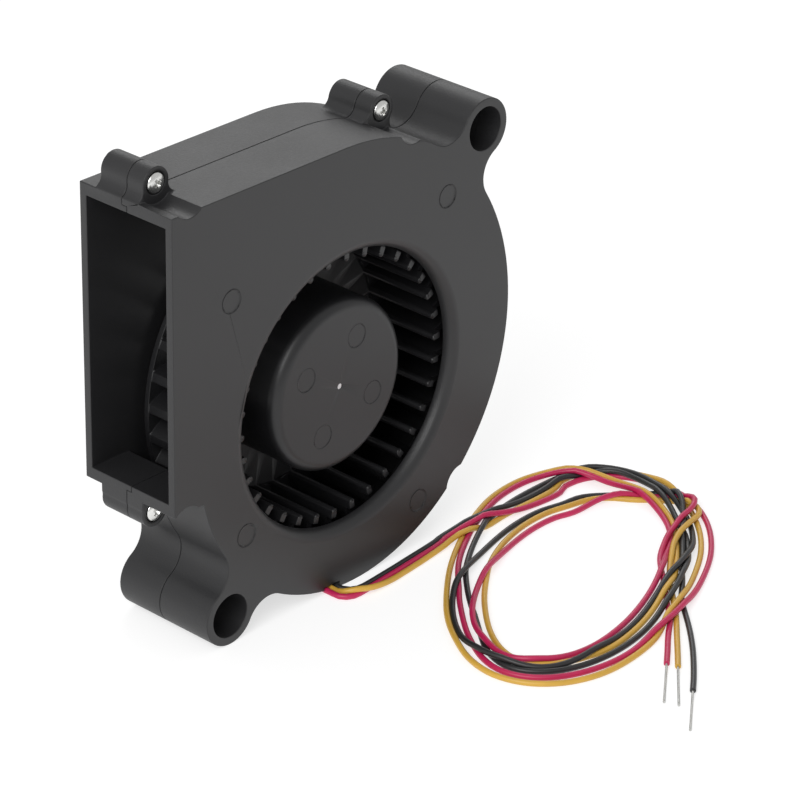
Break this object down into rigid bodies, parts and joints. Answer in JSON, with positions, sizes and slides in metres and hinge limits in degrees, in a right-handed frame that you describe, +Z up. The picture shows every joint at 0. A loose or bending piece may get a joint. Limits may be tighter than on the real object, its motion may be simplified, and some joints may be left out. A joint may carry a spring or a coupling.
{
  "type": "dc blower fan",
  "caption": "Square centrifugal blower with a scroll housing, side outlet, round inlet, forward-curved impeller, two mounting ears and three flying leads.",
  "frame": {"origin": "centre of the housing's width and depth, on the surface that the scroll and the lower ear stand on", "axes": "+Z up, -Y out of the inlet, -X out of the outlet; the spin axis is parallel to Y"},
  "size_m": [0.16, 0.1399, 0.1312],
  "materials": {
    "housing_front": "satin",
    "housing_rear": "satin",
    "screw_steel": "polished",
    "impeller_plastic": "satin",
    "yoke_steel": "satin",
    "magnet": "matte",
    "brass": "satin",
    "ground_steel": "polished",
    "spring_steel": "satin",
    "bearing_steel": "polished",
    "cap_plastic": "satin",
    "lamination": "matte",
    "insulator_nylon": "satin",
    "copper_wire": "glossy",
    "board_green": "glossy",
    "chip_black": "matte",
    "solder": "glossy",
    "label_film": "satin",
    "lead_black": "satin",
    "lead_red": "satin",
    "lead_yellow": "satin",
    "tinned_strands": "glossy"
  },
  "bodies": {
    "housing": {"front_cover": "housing_front", "rear_casing": "housing_rear", "housing_screws": "screw_steel", "front_bearing_outer": "bearing_steel", "rear_bearing_outer": "bearing_steel", "bearing_tube": "brass", "tube_cap": "cap_plastic", "stator_core": "lamination", "front_insulator": "insulator_nylon", "rear_insulator": "insulator_nylon", "stator_coils": "copper_wire", "circuit_board": "board_green", "hall_sensor": "chip_black", "driver_chip": "chip_black", "board_capacitor": "chip_black", "board_resistors": "chip_black", "lead_solder": "solder", "rear_label": "label_film", "lead_black": "lead_black", "lead_black_inside": "lead_black", "lead_black_tail": "lead_black", "lead_black_end": "tinned_strands", "lead_red": "lead_red", "lead_red_inside": "lead_red", "lead_red_tail": "lead_red", "lead_red_end": "tinned_strands", "lead_yellow": "lead_yellow", "lead_yellow_inside": "lead_yellow", "lead_yellow_tail": "lead_yellow", "lead_yellow_end": "tinned_strands", "lead_loops": "lead_black"},
    "rotor": {"impeller": "impeller_plastic", "rotor_yoke": "yoke_steel", "magnet_ring": "magnet", "hub_insert": "brass", "shaft": "ground_steel", "preload_spring": "spring_steel", "front_bearing_inner": "bearing_steel", "rear_bearing_inner": "bearing_steel", "bearing_balls": "bearing_steel", "shaft_washer": "brass", "shaft_clip": "spring_steel"}
  },
  "joints": [
    {"name": "impeller_spin", "type": "hinge", "parent": "housing", "child": "rotor", "pos_m": [0.00136, 0, 0.0554], "axis": [0, 1, 0], "continuous": true}
  ]
}
